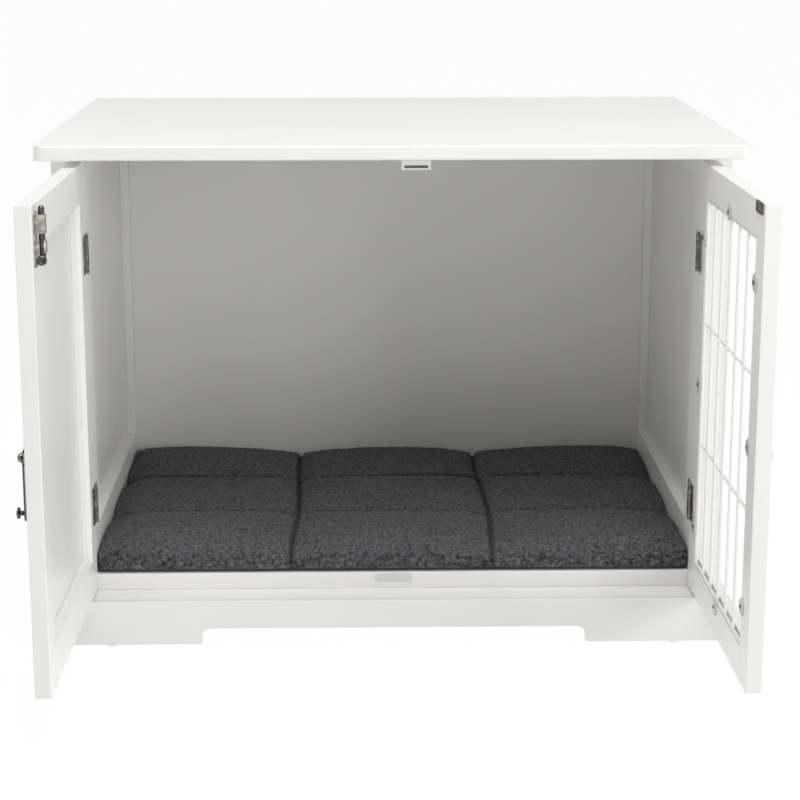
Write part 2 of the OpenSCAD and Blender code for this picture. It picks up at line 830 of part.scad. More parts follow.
// Fullness of the outer edge alone, which rounds the mat's rim
function rim(t) = pow(min(1, min(t, 1 - t)*22), 0.5);
mat_cols = 30;
mat_rows = 24;
rim_z = 14;
function inner(t) = t*3 > 1 && t*3 < 2 ? 1 : min(1, abs(t < 0.5 ? t : 1 - t)*3*4);
function lift(u, v) = fullness(u)*(cross_keep*inner(v) + (1 - cross_keep)*fullness(v));
function mat_top(u, v) = rim_z + (seam_t - rim_z)*min(rim(u), rim(v)) + (mat_t - seam_t)*lift(u, v);
// How far the sides draw in between the seams
function draw_in(t) = 1.5*fullness(t);
function mat_at(i, j, inset, z) =
  let (u = i/mat_cols, v = j/mat_rows,
       hx = mat_x - inset - 1.5 + draw_in(v), hy = (mat_y1 - mat_y0)/2 - inset - 1.5 + draw_in(u))
  [(2*u - 1)*hx, (mat_y0 + mat_y1)/2 + (2*v - 1)*hy, mat_z + z];
function ring_at(k) =
  k < mat_cols ? [k, 0] :
  k < mat_cols + mat_rows ? [mat_cols, k - mat_cols] :
  k < 2*mat_cols + mat_rows ? [2*mat_cols + mat_rows - k, mat_rows] :
  [0, 2*(mat_cols + mat_rows) - k];

module mat() {
  ring = 2*(mat_cols + mat_rows);
  cols = mat_cols + 1;
  top_points = [for (j = [0 : mat_rows]) for (i = [0 : mat_cols])
    mat_at(i, j, 0, mat_top(i/mat_cols, j/mat_rows))];
  low_points = [for (k = [0 : ring - 1]) mat_at(ring_at(k)[0], ring_at(k)[1], 3, 0)];
  low = len(top_points);
  hub = low + ring;
  points = concat(top_points, low_points, [[0, (mat_y0 + mat_y1)/2, mat_z]]);
  top_faces = [for (j = [0 : mat_rows - 1]) for (i = [0 : mat_cols - 1])
    let (a = j*cols + i, b = a + 1, c = a + cols, d = c + 1) each [[a, c, b], [b, c, d]]];
  side_faces = [for (k = [0 : ring - 1])
    let (p = ring_at(k), q = ring_at((k + 1) % ring), a = p[1]*cols + p[0], b = q[1]*cols + q[0],
         c = low + k, d = low + (k + 1) % ring) each [[a, b, c], [b, d, c]]];
  low_faces = [for (k = [0 : ring - 1]) [low + k, low + (k + 1) % ring, hub]];
  color([0.22, 0.22, 0.23]) centred() polyhedron(points, concat(top_faces, side_faces, low_faces));
}

top_board();
front_post("left");  // front_post_left
front_post("right");  // front_post_right
rear_post("left");  // rear_post_left
rear_post("right");  // rear_post_right
side_low_rail("left");  // side_low_rail_left
side_low_rail("right");  // side_low_rail_right
side_high_rail("left");  // side_high_rail_left
side_high_rail("right");  // side_high_rail_right
side_panel("left");  // side_panel_left
side_panel("right");  // side_panel_right
back_panel();
back_low_rail();
back_high_rail();
floor_panel();
ledge_board();
plinth_front();
plinth_side("left");  // plinth_side_left
plinth_side("right");  // plinth_side_right
plinth_back();
foot_glides();
catch_housing();
catch_magnet();
door_stop_pad();
cabinet_hinge_leaves();
hinge_pins();
cabinet_hinge_screws();
left_hinge_stile();
left_meeting_stile();
left_high_rail();
left_low_rail();
left_door_panel();
door_hinge_leaves("left");  // left_hinge_leaves
door_hinge_screws("left");  // left_hinge_screws
bolt_base();
bolt_screws();
bolt_rod();
latch_rose();
latch_cap();
latch_arm();
right_hinge_stile();
right_meeting_stile();
right_high_rail();
right_low_rail();
door_hinge_leaves("right");  // right_hinge_leaves
door_hinge_screws("right");  // right_hinge_screws
wire_grille();
grille_clips();
grille_screws();
strike_plate();
latch_keeper();
fitting_screws();
mat();
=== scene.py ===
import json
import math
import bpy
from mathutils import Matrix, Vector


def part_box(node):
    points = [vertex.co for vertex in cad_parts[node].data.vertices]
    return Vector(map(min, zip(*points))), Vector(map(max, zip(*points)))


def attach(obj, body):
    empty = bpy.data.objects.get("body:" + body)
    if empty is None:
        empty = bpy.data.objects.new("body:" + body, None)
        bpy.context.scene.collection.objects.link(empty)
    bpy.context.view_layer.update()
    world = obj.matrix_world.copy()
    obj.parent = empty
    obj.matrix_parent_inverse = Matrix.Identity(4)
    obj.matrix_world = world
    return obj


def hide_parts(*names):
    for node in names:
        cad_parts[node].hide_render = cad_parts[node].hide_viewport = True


bl_info = {
    "name": "Pet crate",
    "version": (1, 0, 0),
    "blender": (4, 5, 0),
    "location": "View3D > Sidebar > Pet crate",
    "description": "Finishes the pet crate: painted boards, wires, fittings, mat, floor and lights",
    "category": "Object",
}

import bmesh
import bpy
from bpy.props import FloatProperty, FloatVectorProperty, PointerProperty
from mathutils import Matrix, Vector, noise

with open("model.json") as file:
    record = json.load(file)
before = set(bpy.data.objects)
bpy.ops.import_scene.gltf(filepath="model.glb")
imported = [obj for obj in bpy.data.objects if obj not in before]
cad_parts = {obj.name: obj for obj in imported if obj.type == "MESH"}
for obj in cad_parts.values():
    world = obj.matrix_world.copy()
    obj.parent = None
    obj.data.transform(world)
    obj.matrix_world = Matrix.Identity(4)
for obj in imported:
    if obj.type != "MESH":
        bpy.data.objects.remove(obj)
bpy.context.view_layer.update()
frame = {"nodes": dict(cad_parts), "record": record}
PLINTH = ("plinth_front", "plinth_side_left", "plinth_side_right", "plinth_back")
HINGE_LEAVES = ("cabinet_hinge_leaves", "left_hinge_leaves", "right_hinge_leaves")
# The latch arm and the bolt's rod take a darker copy of the nickel: painted shade
PAINTED_SHADE_PIECES = ("latch_arm", "bolt_rod")
SCREWS = {
    "cabinet_hinge_screws": "cabinet_cross_screws",
    "left_hinge_screws": "left_door_cross_screws",
    "right_hinge_screws": "right_door_cross_screws",
    "bolt_screws": "bolt_cross_screws",
    "grille_screws": "retainer_cross_screws",
    "fitting_screws": "keeper_cross_screws",
}
MAT_LOW, MAT_HIGH = (Vector(corner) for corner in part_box("mat"))

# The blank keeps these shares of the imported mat's width, depth and height
BLANK_WIDTH, BLANK_DEPTH, BLANK_HEIGHT = 0.985, 0.98, 0.92
BLANK_MESH = 0.0035
# The rim between two seams is lifted in full from this far on
RIM_REACH = 0.03
# A point this near to a seam or to the base is held while the mat is filled
HELD_DISTANCE = 0.004
FILLING_STEPS = 20
LONG_SEAM_WIDTH = 0.0024
CROSS_SEAM_WIDTH = 0.0026
# How far the seams wander sideways, how fast, and how far apart their waves start
SEAM_WANDER, WANDER_RATE, WANDER_START = 0.002, 17.0, 60.0
# How far the curls are bent out of shape, and how far broad patches of pile lean
CURL_BEND, LEAN = 0.002, 0.0006
# Without a seed of its own the curls would differ from run to run
CURL_SEED = 1
# The relief fades out over this height above the backing
EDGE_FADE = 0.004
# How far the mat's sides are pressed flat along x, y and z
PRESSED = (0.009, 0.005, 0.0)
# Depth of a crease and the share of the colour that is left there: painted shade in the creases
PAINTED_CREASE_SHADE = ((0.0, 1.0), (0.3, 0.68), (0.6, 0.32), (1.0, 0.08))

WHITE = (1.0, 1.0, 1.0, 1.0)
FLOOR_SIZE = 45.0
# Place, target and size of each lamp
SIDE_LAMP = ((2.2, -2.2, 0.8), (-0.3, 0.2, 0.25), 1.0)
OVER_LAMP = ((0.0, -0.9, 2.6), (0.0, -0.1, 0.2), 1.6)


class PaintSettings(bpy.types.PropertyGroup):
    """Finish of the white boards and wires"""

    # Painted shade: the plinth takes a darker copy of the board paint, for the shade that falls on
    # it
    plinth_painted_shade: FloatProperty(
        name="Plinth", description="Share of the boards' brightness on the plinth",
        default=0.9, min=0.0, max=1.0)
    board: FloatVectorProperty(
        name="Board paint", description="Colour of the painted boards",
        default=(0.868, 0.862, 0.843), subtype="COLOR", min=0.0, max=1.0)
    wire: FloatVectorProperty(
        name="Wire enamel", description="Colour of the grille's wires",
        default=(0.885, 0.88, 0.868), subtype="COLOR", min=0.0, max=1.0)
    grain: FloatProperty(
        name="Roller grain", description="Height of the paint's fine grain",
        default=0.00012, min=0.0, max=0.001, unit="LENGTH")


class FittingSettings(bpy.types.PropertyGroup):
    """Finish of the hinges, bolt, latch and clips"""

    nickel: FloatVectorProperty(
        name="Nickel", description="Colour of the plated hinges, bolt and latch",
        default=(0.25, 0.24, 0.222), subtype="COLOR", min=0.0, max=1.0)
    steel: FloatVectorProperty(
        name="Dark steel", description="Colour of the strike and the catch's magnet",
        default=(0.17, 0.16, 0.125), subtype="COLOR", min=0.0, max=1.0)
    # Painted reflection: the hinge leaves take a darker copy of the nickel, for the dark cabin they
    # reflect
    hinge_painted_reflection: FloatProperty(
        name="Hinge leaves", description="Share of the nickel's brightness on the hinge leaves",
        default=0.62, min=0.0, max=1.0)
    # Painted shade: the latch arm and the bolt's rod take a darker copy of the nickel, for the dark
    # they reflect and the shade in the bolt's guides
    arm_painted_shade: FloatProperty(
        name="Arm and rod",
        description="Share of the nickel's brightness on the latch arm and the bolt's rod",
        default=0.34, min=0.0, max=1.0)
    # Painted highlight: the bolt's base takes a brighter copy of the nickel, for the bright
    # reflections on it
    base_painted_highlight: FloatProperty(
        name="Bolt base", description="Share of the nickel's brightness on the bolt's base",
        default=1.8, min=0.0, max=3.0)
    cross_width: FloatProperty(
        name="Cross width", description="Width of the slots in the screws' heads",
        default=0.00055, min=0.0002, max=0.001, unit="LENGTH")
    cross_depth: FloatProperty(
        name="Cross depth", description="Depth of the slots in the screws' heads",
        default=0.0007, min=0.0002, max=0.001, unit="LENGTH")
    cross_turn: FloatProperty(
        name="Cross turn", description="How far the slots are turned",
        default=math.radians(20), subtype="ANGLE")
    plastic: FloatVectorProperty(
        name="Plastic", description="Colour of the catch, the glides, the clips and the stop pad",
        default=(0.88, 0.88, 0.88), subtype="COLOR", min=0.0, max=1.0)


class MatSettings(bpy.types.PropertyGroup):
    """Size and colour of the fleece mat"""

    fleece: FloatVectorProperty(
        name="Fleece", description="Colour of the curly fleece",
        default=(0.124, 0.124, 0.131), subtype="COLOR", min=0.0, max=1.0)
    # The backing's near-black band is real cloth and also painted shadow for the gap under the
    # mat's rim
    backing: FloatVectorProperty(
        name="Backing", description="Colour of the cloth under the mat",
        default=(0.012, 0.012, 0.013), subtype="COLOR", min=0.0, max=1.0)
    curl: FloatProperty(
        name="Curl height", description="Height of the fleece's curls on the mat's rim",
        default=0.0034, min=0.0, max=0.006, unit="LENGTH")
    curl_size: FloatProperty(
        name="Curl size", description="Width of one curl of the fleece",
        default=0.0078, min=0.004, max=0.02, unit="LENGTH")
    groove: FloatProperty(
        name="Seam depth", description="How far the long seams are drawn in",
        default=0.006, min=0.0, max=0.02, unit="LENGTH")
    rim_low: FloatProperty(
        name="Rim height", description="Height below which a point belongs to the packed mat's rim",
        default=0.018, min=0.0, max=0.04, unit="LENGTH")
    rim_lift: FloatProperty(
        name="Rim lift", description="How far the filling lifts the rim between the seams",
        default=0.011, min=0.0, max=0.03, unit="LENGTH")
    puff: FloatProperty(
        name="Puff", description="Most that the filling may push a point outwards",
        default=0.009, min=0.0, max=0.02, unit="LENGTH")
    seam_across: FloatProperty(
        name="Seam distance", description="Distance of the two long seams from the middle",
        default=0.106, min=0.05, max=0.2, unit="LENGTH")
    backing_and_shadow_gap_height: FloatProperty(
        name="Backing height", description="How far the backing shows above the floor",
        default=0.004, min=0.0, max=0.01, unit="LENGTH")


class StudioSettings(bpy.types.PropertyGroup):
    """Floor, lights and camera"""

    floor: FloatVectorProperty(
        name="Floor", description="Colour of the studio floor",
        default=(0.1, 0.1, 0.1), subtype="COLOR", min=0.0, max=1.0)
    floor_glow: FloatProperty(
        name="Floor glow", description="How bright the floor glows, like a light table",
        default=0.92, min=0.0, max=2.0)
    zenith: FloatProperty(
        name="Light from above", description="Strength of the soft light from straight above",
        default=0.05, min=0.0, max=3.0)
    from_right: FloatProperty(
        name="Light from the right", description="Strength of the soft light from the right",
        default=0.82, min=0.0, max=3.0)
    from_back: FloatProperty(
        name="Light from behind", description="Strength of the soft light from behind the crate",
        default=0.667, min=0.0, max=3.0)
    from_left: FloatProperty(
        name="Light from the left", description="Strength of the soft light from the left",
        default=0.72, min=0.0, max=3.0)
    side_lamp: FloatProperty(
        name="Side lamp", description="Power of the large lamp on the right",
        default=22.0, min=0.0, max=500.0, unit="POWER")
    over_lamp: FloatProperty(
        name="Overhead lamp", description="Power of the large lamp above the open doors",
        default=38.5, min=0.0, max=500.0, unit="POWER")
    eye: FloatVectorProperty(
        name="Camera", description="Where the camera stands",
        default=(-0.03752, -2.21529, 0.78256), subtype="TRANSLATION", unit="LENGTH")
    yaw: FloatProperty(
        name="Camera turn", description="How far the camera turns to the right",
        default=math.radians(1.196), subtype="ANGLE")
    pitch: FloatProperty(
        name="Camera tilt", description="How far the camera looks down",
        default=math.radians(13.632), subtype="ANGLE")
    lens: FloatProperty(
        name="Lens", description="Focal length on a 36 mm wide sensor, in millimetres",
        default=92.45, min=20.0, max=300.0)


def nodes_in(slot):
    """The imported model's nodes that take their finish from one material slot."""
    return [frame["nodes"][part["node"]] for part in frame["record"]["subparts"]
            if part["material_slot"] == slot]


def named(nodes):
    """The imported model's nodes with these names."""
    return [frame["nodes"][node] for node in nodes]


def give(objects, material):
    """Puts one material in every slot of these objects."""
    for item in objects:
        if not item.material_slots:
            item.data.materials.append(material)
        for slot in item.material_slots:
            slot.material = material


class Finish:
    """A procedural material, built up on its Principled shader."""

    def __init__(self, name, colour, roughness, metallic=0.0):
        self.material = bpy.data.materials.new(name)
        self.material.use_nodes = True
        self.tree = self.material.node_tree
        self.shader = self.tree.nodes["Principled BSDF"]
        self.put("Base Color", (*colour, 1.0))
        self.put("Roughness", roughness)
        self.put("Metallic", metallic)
        self.material.diffuse_color = (*colour, 1.0)
        self.place = self.add("ShaderNodeTexCoord").outputs["Object"]

    def put(self, socket, value):
        """Sets one uniform value of the shader."""
        self.shader.inputs[socket].default_value = value

    def drive(self, socket, output):
        """Lets an output steer one value of the shader."""
        self.link(output, self.shader.inputs[socket])

    def add(self, kind, **values):
        """A new node with these settings."""
        node = self.tree.nodes.new(kind)
        for name, value in values.items():
            setattr(node, name, value)
        return node

    def link(self, start, end):
        self.tree.links.new(start, end)

    def stretched(self, scale):
        """The object's own coordinates, stretched by a scale for each axis."""
        mapping = self.add("ShaderNodeMapping")
        mapping.inputs["Scale"].default_value = scale
        self.link(self.place, mapping.inputs["Vector"])
        return mapping.outputs["Vector"]

    def noise(self, scale, detail=3.0, roughness=0.5, place=None):
        """Soft noise between 0 and 1."""
        node = self.add("ShaderNodeTexNoise")
        node.inputs["Scale"].default_value = scale
        node.inputs["Detail"].default_value = detail
        node.inputs["Roughness"].default_value = roughness
        self.link(place or self.place, node.inputs["Vector"])
        return node.outputs["Fac"]

    def cells(self, scale):
        """Distance to the middle of the nearest cell."""
        node = self.add("ShaderNodeTexVoronoi", feature="SMOOTH_F1")
        node.inputs["Scale"].default_value = scale
        self.link(self.place, node.inputs["Vector"])
        return node.outputs["Distance"]

    def ramp(self, value, stops):
        """Colour that follows a value, from (position, colour) stops."""
        node = self.add("ShaderNodeValToRGB")
        elements = node.color_ramp.elements
        while len(elements) < len(stops):
            elements.new(0.5)
        for element, (position, colour) in zip(elements, stops):
            element.position = position
            element.color = (*colour, 1.0)
        self.link(value, node.inputs["Fac"])
        return node.outputs["Color"]

    def between(self, value, low, high):
        """The middle half of a noise, spread over a new range."""
        node = self.add("ShaderNodeMapRange")
        node.inputs["From Min"].default_value = 0.25
        node.inputs["From Max"].default_value = 0.75
        node.inputs["To Min"].default_value = low
        node.inputs["To Max"].default_value = high
        self.link(value, node.inputs["Value"])
        return node.outputs["Result"]

    def times(self, first, second):
        """Two colours multiplied."""
        node = self.add("ShaderNodeMix", data_type="RGBA", blend_type="MULTIPLY")
        node.inputs["Factor"].default_value = 1.0
        colours = [socket for socket in node.inputs if socket.type == "RGBA"]
        self.link(first, colours[0])
        self.link(second, colours[1])
        return next(socket for socket in node.outputs if socket.type == "RGBA")

    def bump(self, height, distance, strength=1.0, under=None):
        """Fine relief, on top of another relief if one is given."""
        node = self.add("ShaderNodeBump")
        node.inputs["Strength"].default_value = strength
        node.inputs["Distance"].default_value = distance
        self.link(height, node.inputs["Height"])
        if under:
            self.link(under, node.inputs["Normal"])
        return node.outputs["Normal"]


def shade(colour, factor):
    """A darker or brighter colour of the same hue."""
    return tuple(min(1.0, part * factor) for part in colour)


def board_paint(name, colour, relief):
    """Satin white paint rolled on smooth board."""
    paint = Finish(name, colour, 0.38)
    broad = paint.noise(9.0, 4.0)
    paint.drive("Base Color", paint.ramp(broad, [(0.3, shade(colour, 0.985)),
                                                 (0.7, shade(colour, 1.01))]))
    paint.drive("Roughness", paint.between(paint.noise(38.0, 3.0), 0.34, 0.44))
    grain = paint.noise(750.0, 2.0, 0.6)
    paint.drive("Normal", paint.bump(grain, relief, 0.35))
    paint.put("Coat Weight", 0.12)
    paint.put("Coat Roughness", 0.22)
    return paint.material


def wire_enamel(settings):
    """Dipped white enamel, a little thicker in places."""
    enamel = Finish("wire_enamel", settings.wire, 0.3)
    enamel.drive("Roughness", enamel.between(enamel.noise(60.0), 0.24, 0.38))
    cloudy = enamel.noise(25.0)
    enamel.drive("Base Color", enamel.ramp(cloudy, [(0.3, shade(settings.wire, 0.97)),
                                                    (0.7, settings.wire)]))
    enamel.drive("Normal", enamel.bump(enamel.noise(240.0), 0.0001, 0.5))
    enamel.put("Coat Weight", 0.3)
    return enamel.material


def nickel_plate(name, colour):
    """Nickel plating with the fine lines of drawn strip."""
    plate = Finish(name, colour, 0.2, 1.0)
    lines = plate.noise(900.0, 2.0, 0.6, plate.stretched((1.0, 1.0, 0.06)))
    plate.drive("Roughness", plate.between(lines, 0.06, 0.16))
    plate.drive("Base Color", plate.ramp(plate.noise(150.0, 2.0), [(0.38, shade(colour, 0.65)),
                                                                   (0.56, colour),
                                                                   (0.72, shade(colour, 1.7))]))
    plate.put("Coat Weight", 0.5)
    plate.put("Coat Roughness", 0.05)
    plate.drive("Normal", plate.bump(lines, 0.00004, 0.5))
    return plate.material


def dark_steel(settings):
    """Blackened steel with a little bare metal showing through."""
    steel = Finish("dark_steel", settings.steel, 0.42, 0.8)
    speckle = steel.noise(420.0, 4.0, 0.6)
    steel.drive("Base Color", steel.ramp(speckle, [(0.35, shade(settings.steel, 0.7)),
                                                   (0.62, settings.steel),
                                                   (0.8, shade(settings.steel, 3.0))]))
    steel.drive("Roughness", steel.between(speckle, 0.32, 0.55))
    steel.drive("Normal", steel.bump(speckle, 0.00004, 0.6))
    return steel.material


def moulded_plastic(settings, name, roughness, clear=0.0):
    """Moulded plastic, white or clear, with the faint grain of its tool."""
    plastic = Finish(name, settings.plastic, roughness)
    grain = plastic.noise(520.0, 2.0)
    plastic.drive("Roughness", plastic.between(grain, roughness * 0.85, roughness * 1.2))
    cloudy = plastic.noise(30.0)
    plastic.drive("Base Color", plastic.ramp(cloudy, [(0.3, shade(settings.plastic, 0.97)),
                                                      (0.7, settings.plastic)]))
    plastic.drive("Normal", plastic.bump(grain, 0.00005, 0.4))
    plastic.put("Transmission Weight", clear)
    return plastic.material


def curly_fleece(settings):
    """Deep curly fleece, with painted shade between the curls and along the seams and painted
    highlights on the curls' crowns.
    """
    pile = Finish("curly_fleece", settings.fleece, 0.95)
    # Painted shade: the crease mask darkens the colour along the seams and between the curls
    crease = pile.add("ShaderNodeAttribute", attribute_name="crease").outputs["Fac"]
    curls = pile.cells(330.0)
    fine = pile.noise(1100.0, 4.0, 0.7)
    crease_shade_colour = pile.ramp(crease, [(depth, (light, light, light)) for depth, light in PAINTED_CREASE_SHADE])
    # Painted highlight on the curls' crowns and painted shade at the cells' edges between them
    tufts = pile.ramp(curls, [(0.0, shade(settings.fleece, 1.6)), (0.38, settings.fleece),
                              (0.75, shade(settings.fleece, 0.42))])
    pile.drive("Base Color", pile.times(tufts, crease_shade_colour))
    pile.drive("Normal", pile.bump(fine, 0.0006, 0.8, pile.bump(curls, -0.0022)))
    pile.put("Sheen Weight", 0.06)
    pile.put("Sheen Roughness", 0.6)
    pile.put("Specular IOR Level", 0.15)
    return pile.material


def backing_cloth_and_shadow_gap(settings):
    """Black woven cloth under the mat; its dark band is also painted shadow for the gap under the
    mat's rim.
    """
    cloth = Finish("backing_cloth_and_shadow_gap", settings.backing, 0.9)
    across = cloth.noise(1500.0, 1.0, 0.4, cloth.stretched((1.0, 0.1, 1.0)))
    along = cloth.noise(1500.0, 1.0, 0.4, cloth.stretched((0.1, 1.0, 1.0)))
    cloth.drive("Base Color", cloth.ramp(across, [(0.3, shade(settings.backing, 0.6)),
                                                  (0.7, shade(settings.backing, 1.8))]))
    cloth.drive("Normal", cloth.bump(along, 0.0002, 0.7, cloth.bump(across, 0.0002, 0.7)))
    cloth.put("Sheen Weight", 0.2)
    return cloth.material


def separate_solids(mesh):
    """The points of each separate solid of a mesh."""
    links = [[] for vertex in mesh.vertices]
    for edge in mesh.edges:
        first, second = edge.vertices
        links[first].append(second)
        links[second].append(first)
    seen = set()
    for start in range(len(links)):
        if start in seen:
            continue
        seen.add(start)
        solid = [start]
        for point in solid:
            for near in links[point]:
                if near not in seen:
                    seen.add(near)
                    solid.append(near)
        yield [mesh.vertices[index].co.copy() for index in solid]


def middle_of(points):
    return sum(points, Vector()) / len(points)


def screw_axis(points):
    """Where a screw's head ends, which way it points, and the head's radius."""
    centre = middle_of(points)
    axis = (max(points, key=lambda point: (point - centre).length) - centre).normalized()
    for attempt in range(4):
        along = [(point - centre).dot(axis) for point in points]
        low, high = min(along), max(along)
        tenth = (high - low) * 0.1
        near = middle_of([point for point, at in zip(points, along) if at < low + tenth])
        far = middle_of([point for point, at in zip(points, along) if at > high - tenth])
        axis = (far - near).normalized()

    def reach(point):
        offset = point - near
        return (offset - axis * offset.dot(axis)).length

    widest = max(points, key=reach)
    if (widest - near).length < (widest - far).length:
        near, far, axis = far, near, -axis
    top = max((point - near).dot(axis) for point in points)
    return near + axis * top, axis, reach(widest)


def cut_crosses(node, name, settings):
    """A copy of a node's screws, with a cross recess cut in each head."""
    mesh = frame["nodes"][node].data.copy()
    mesh.name = name
    form = bmesh.new()
    form.from_mesh(mesh)
    bmesh.ops.remove_doubles(form, verts=form.verts, dist=0.000001)
    form.to_mesh(mesh)
    form.free()
    screws = bpy.data.objects.new(name, mesh)
    cutter_mesh = bpy.data.meshes.new("crosses")
    cutter = bpy.data.objects.new("crosses", cutter_mesh)
    form = bmesh.new()
    for points in separate_solids(mesh):
        end, axis, radius = screw_axis(points)
        turn = axis.to_track_quat("Z", "Y").to_matrix().to_4x4()
        for quarter in (0.0, math.pi / 2):
            aim = Matrix.Rotation(settings.cross_turn + quarter, 4, "Z")
            slot = (radius * 1.15, settings.cross_width, settings.cross_depth * 2, 1.0)
            place = Matrix.Translation(end) @ turn @ aim @ Matrix.Diagonal(slot)
            bmesh.ops.create_cube(form, size=1.0, matrix=place)
    form.to_mesh(cutter_mesh)
    form.free()
    for item in (screws, cutter):
        bpy.context.scene.collection.objects.link(item)
    cut = screws.modifiers.new("Crosses", "BOOLEAN")
    cut.operation = "DIFFERENCE"
    cut.solver = "EXACT"
    cut.use_self = True
    cut.object = cutter
    apply_modifiers(screws)
    bpy.data.objects.remove(cutter)
    bpy.data.meshes.remove(cutter_mesh)
    return screws


def body_of(node):
    """The body that carries a node."""
    bodies = frame["record"]["behaviour"]["bodies"]
    return next(body for body, nodes in bodies.items() if node in nodes)


def seam_lines(settings):
    """Where the mat's seams run: (axis, place) pairs."""
    low, high = MAT_LOW.y, MAT_HIGH.y
    third = (high - low) / 3
    return [(0, -settings.seam_across), (0, settings.seam_across),
            (1, low + third), (1, high - third)]


def seam_distances(point, lines):
    """Distance to each seam, which all wander a little."""
    distances = []
    for axis, place in lines:
        wander = SEAM_WANDER * math.sin(point[1 - axis] * WANDER_RATE + place * WANDER_START)
        distances.append(abs(point[axis] - place - wander))
    return distances


def mat_blank(settings):
    """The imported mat's own shape, made a little smaller, as an even mesh."""
    mesh = frame["nodes"]["mat"].data.copy()
    mesh.name = "fleece_mat"
    pad = bpy.data.objects.new("fleece_mat", mesh)
    bpy.context.scene.collection.objects.link(pad)
    middle = (MAT_LOW + MAT_HIGH) / 2
    lines = seam_lines(settings)
    for vertex in mesh.vertices:
        height = vertex.co.z - MAT_LOW.z
        if 0.001 < height < settings.rim_low:
            nearest = min(seam_distances(vertex.co, lines))
            height += settings.rim_lift * min(1.0, nearest / RIM_REACH)
        vertex.co.x = middle.x + (vertex.co.x - middle.x) * BLANK_WIDTH
        vertex.co.y = middle.y + (vertex.co.y - middle.y) * BLANK_DEPTH
        vertex.co.z = MAT_LOW.z + height * BLANK_HEIGHT
    remesh = pad.modifiers.new("Even mesh", "REMESH")
    remesh.mode = "VOXEL"
    remesh.voxel_size = BLANK_MESH
    apply_modifiers(pad)
    return pad


def apply_modifiers(item):
    """Bakes the modifiers of an object into its mesh."""
    bpy.context.view_layer.update()
    seen = item.evaluated_get(bpy.context.evaluated_depsgraph_get())
    mesh = bpy.data.meshes.new_from_object(seen)
    item.modifiers.clear()
    old = item.data
    item.data = mesh
    bpy.data.meshes.remove(old)


def puff_up(pad, settings):
    """Fills the mat by a cloth simulation that is held along its seams and base."""
    lines = seam_lines(settings)
    held = pad.vertex_groups.new(name="held")
    for vertex in pad.data.vertices:
        at_base = vertex.co.z < MAT_LOW.z + HELD_DISTANCE
        if at_base or min(seam_distances(vertex.co, lines)) < HELD_DISTANCE:
            held.add([vertex.index], 1.0, "REPLACE")
    start = [vertex.co.copy() for vertex in pad.data.vertices]
    cloth = pad.modifiers.new("Filling", "CLOTH")
    cloth.settings.quality = 4
    cloth.settings.mass = 0.3
    cloth.settings.tension_stiffness = 8.0
    cloth.settings.compression_stiffness = 8.0
    cloth.settings.bending_stiffness = 0.3
    cloth.settings.use_pressure = True
    cloth.settings.uniform_pressure_force = 4.0
    cloth.settings.vertex_group_mass = "held"
    cloth.settings.effector_weights.gravity = 0.0
    cloth.collision_settings.use_collision = False
    cloth.point_cache.frame_start = 1
    cloth.point_cache.frame_end = FILLING_STEPS
    scene = bpy.context.scene
    for step in range(1, FILLING_STEPS + 1):
        scene.frame_set(step)
    seen = pad.evaluated_get(bpy.context.evaluated_depsgraph_get())
    filled = [vertex.co.copy() for vertex in seen.data.vertices]
    pad.modifiers.clear()
    for vertex, before, after in zip(pad.data.vertices, start, filled):
        move = after - before
        if move.length > settings.puff:
            move *= settings.puff / move.length
        vertex.co = before + move
    pad.vertex_groups.clear()
    scene.frame_set(1)


def curl_crown(point, size):
    """0 in the crease between two curls, and up to 1 at a curl's crown."""
    bent = point + noise.noise_vector(point * 110.0) * CURL_BEND
    near = noise.voronoi(bent / size)[0]
    return min(1.0, (near[1] - near[0]) * 1.9) ** 0.6


def sew_and_curl(pad, settings):
    """Draws the seams in and raises the fleece's curls on a finer mesh."""
    finer = pad.modifiers.new("Finer", "SUBSURF")
    finer.levels = 1
    finer.render_levels = 1
    apply_modifiers(pad)
    lines = seam_lines(settings)
    mesh = pad.data
    normals = [Vector(item.vector) for item in mesh.vertex_normals]
    # A mask for painted shade: higher along the seams and between the curls
    crease_shade_weights = mesh.attributes.new("crease", "FLOAT", "POINT")
    noise.seed_set(CURL_SEED)
    for vertex, normal in zip(mesh.vertices, normals):
        point = vertex.co
        height = point.z - MAT_LOW.z
        if height < settings.backing_and_shadow_gap_height:
            continue
        seams = seam_distances(point, lines)
        long_seam = math.exp(-(min(seams[:2]) / LONG_SEAM_WIDTH) ** 2)
        cross_seam = math.exp(-(min(seams[2:]) / CROSS_SEAM_WIDTH) ** 2)
        groove = max(long_seam, 0.7 * cross_seam)
        rim = min(1.0, max(0.0, (0.8 - normal.z) / 0.5))
        crown = curl_crown(point, settings.curl_size * (0.75 + 0.25 * rim))
        raised = (crown - 0.5) * settings.curl * (0.42 + 0.58 * rim)
        lean = noise.noise(point * 30.0) * LEAN
        edge = min(1.0, (height - settings.backing_and_shadow_gap_height) / EDGE_FADE)
        shade_between_curls = (1.0 - crown) ** 1.5 * (0.35 + 0.35 * rim)
        crease_shade_weights.data[vertex.index].value = max(0.5 * long_seam, 0.95 * cross_seam, shade_between_curls)
        vertex.co = point + normal * ((raised + lean - groove * settings.groove) * edge)
    for polygon in mesh.polygons:
        polygon.use_smooth = True


def keep_in_box(pad):
    """Fits the mat into its place in the cabin, where its sides lie flat."""
    places = [vertex.co for vertex in pad.data.vertices]
    for axis, pressed in enumerate(PRESSED):
        low = min(place[axis] for place in places)
        high = max(place[axis] for place in places)
        scale = (MAT_HIGH[axis] - MAT_LOW[axis] + 2 * pressed) / (high - low)
        for place in places:
            moved = MAT_LOW[axis] - pressed + (place[axis] - low) * scale
            place[axis] = min(MAT_HIGH[axis], max(MAT_LOW[axis], moved))


